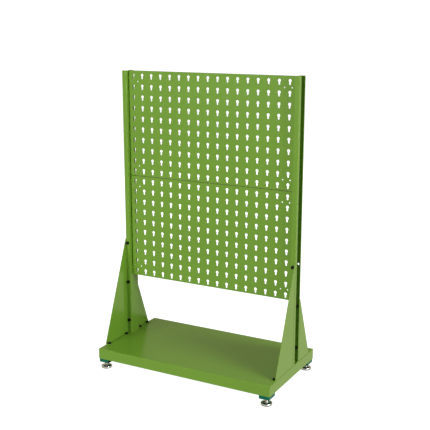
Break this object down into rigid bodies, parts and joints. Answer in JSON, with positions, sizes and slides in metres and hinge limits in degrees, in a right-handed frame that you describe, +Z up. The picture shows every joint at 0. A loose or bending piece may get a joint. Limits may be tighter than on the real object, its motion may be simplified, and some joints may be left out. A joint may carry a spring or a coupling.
{
  "type": "pegboard display stand",
  "caption": "Free-standing pegboard display stand with punched keyhole panels on channel posts, gusset plates, tray base and levelling feet.",
  "frame": {"origin": "centre of the base's footprint, on the floor under the levelling feet", "axes": "+X to the viewer's right along the panels, +Y to the back, +Z up; the keyhole face looks along -Y"},
  "size_m": [0.904, 0.496, 1.402],
  "materials": {
    "green_powder_coat": "glossy yellow-green powder coat",
    "teal_powder_coat": "dark teal-green paint",
    "black_fasteners": "black oxide",
    "zinc_fasteners": "bright zinc plate",
    "yellow_zinc": "yellow passivated zinc",
    "chrome": "polished chrome plate",
    "black_rubber": "matt"
  },
  "bodies": {
    "stand": {"base_tray": "green_powder_coat", "base_rib_left": "green_powder_coat", "base_rib_right": "green_powder_coat", "post_left": "green_powder_coat", "post_right": "green_powder_coat", "front_gusset_left": "green_powder_coat", "front_gusset_right": "green_powder_coat", "rear_gusset_left": "green_powder_coat", "rear_gusset_right": "green_powder_coat", "upper_panel": "green_powder_coat", "lower_panel": "green_powder_coat", "front_post_bolts": "black_fasteners", "rear_post_bolts": "black_fasteners", "base_bolts": "black_fasteners", "front_post_nuts": "zinc_fasteners", "rear_post_nuts": "zinc_fasteners", "base_nuts": "zinc_fasteners", "panel_nuts": "zinc_fasteners", "panel_spacers": "zinc_fasteners", "panel_screws": "zinc_fasteners", "foot_weld_nuts": "yellow_zinc", "foot_lock_nuts": "yellow_zinc", "foot_bracket_front_left": "teal_powder_coat", "foot_bracket_front_right": "teal_powder_coat", "foot_bracket_rear_left": "teal_powder_coat", "foot_bracket_rear_right": "teal_powder_coat"},
    "stud_front_left": {"foot_stud_front_left": "zinc_fasteners"},
    "pad_front_left": {"foot_pad_front_left": "chrome", "foot_sole_front_left": "black_rubber"},
    "stud_front_right": {"foot_stud_front_right": "zinc_fasteners"},
    "pad_front_right": {"foot_pad_front_right": "chrome", "foot_sole_front_right": "black_rubber"},
    "stud_rear_left": {"foot_stud_rear_left": "zinc_fasteners"},
    "pad_rear_left": {"foot_pad_rear_left": "chrome", "foot_sole_rear_left": "black_rubber"},
    "stud_rear_right": {"foot_stud_rear_right": "zinc_fasteners"},
    "pad_rear_right": {"foot_pad_rear_right": "chrome", "foot_sole_rear_right": "black_rubber"}
  },
  "joints": [
    {"name": "front_left_foot_height", "type": "slide", "parent": "stand", "child": "stud_front_left", "axis": [0, 0, -1], "range_m": [-0.0015, 0.015]},
    {"name": "front_left_pad_swivel", "type": "hinge", "parent": "stud_front_left", "child": "pad_front_left", "pos_m": [-0.426, -0.222, 0.0095], "axis": [0, 0, 1], "continuous": true},
    {"name": "front_right_foot_height", "type": "slide", "parent": "stand", "child": "stud_front_right", "axis": [0, 0, -1], "range_m": [-0.0015, 0.015]},
    {"name": "front_right_pad_swivel", "type": "hinge", "parent": "stud_front_right", "child": "pad_front_right", "pos_m": [0.426, -0.222, 0.0095], "axis": [0, 0, 1], "continuous": true},
    {"name": "rear_left_foot_height", "type": "slide", "parent": "stand", "child": "stud_rear_left", "axis": [0, 0, -1], "range_m": [-0.0015, 0.015]},
    {"name": "rear_left_pad_swivel", "type": "hinge", "parent": "stud_rear_left", "child": "pad_rear_left", "pos_m": [-0.426, 0.222, 0.0095], "axis": [0, 0, 1], "continuous": true},
    {"name": "rear_right_foot_height", "type": "slide", "parent": "stand", "child": "stud_rear_right", "axis": [0, 0, -1], "range_m": [-0.0015, 0.015]},
    {"name": "rear_right_pad_swivel", "type": "hinge", "parent": "stud_rear_right", "child": "pad_rear_right", "pos_m": [0.426, 0.222, 0.0095], "axis": [0, 0, 1], "continuous": true}
  ]
}
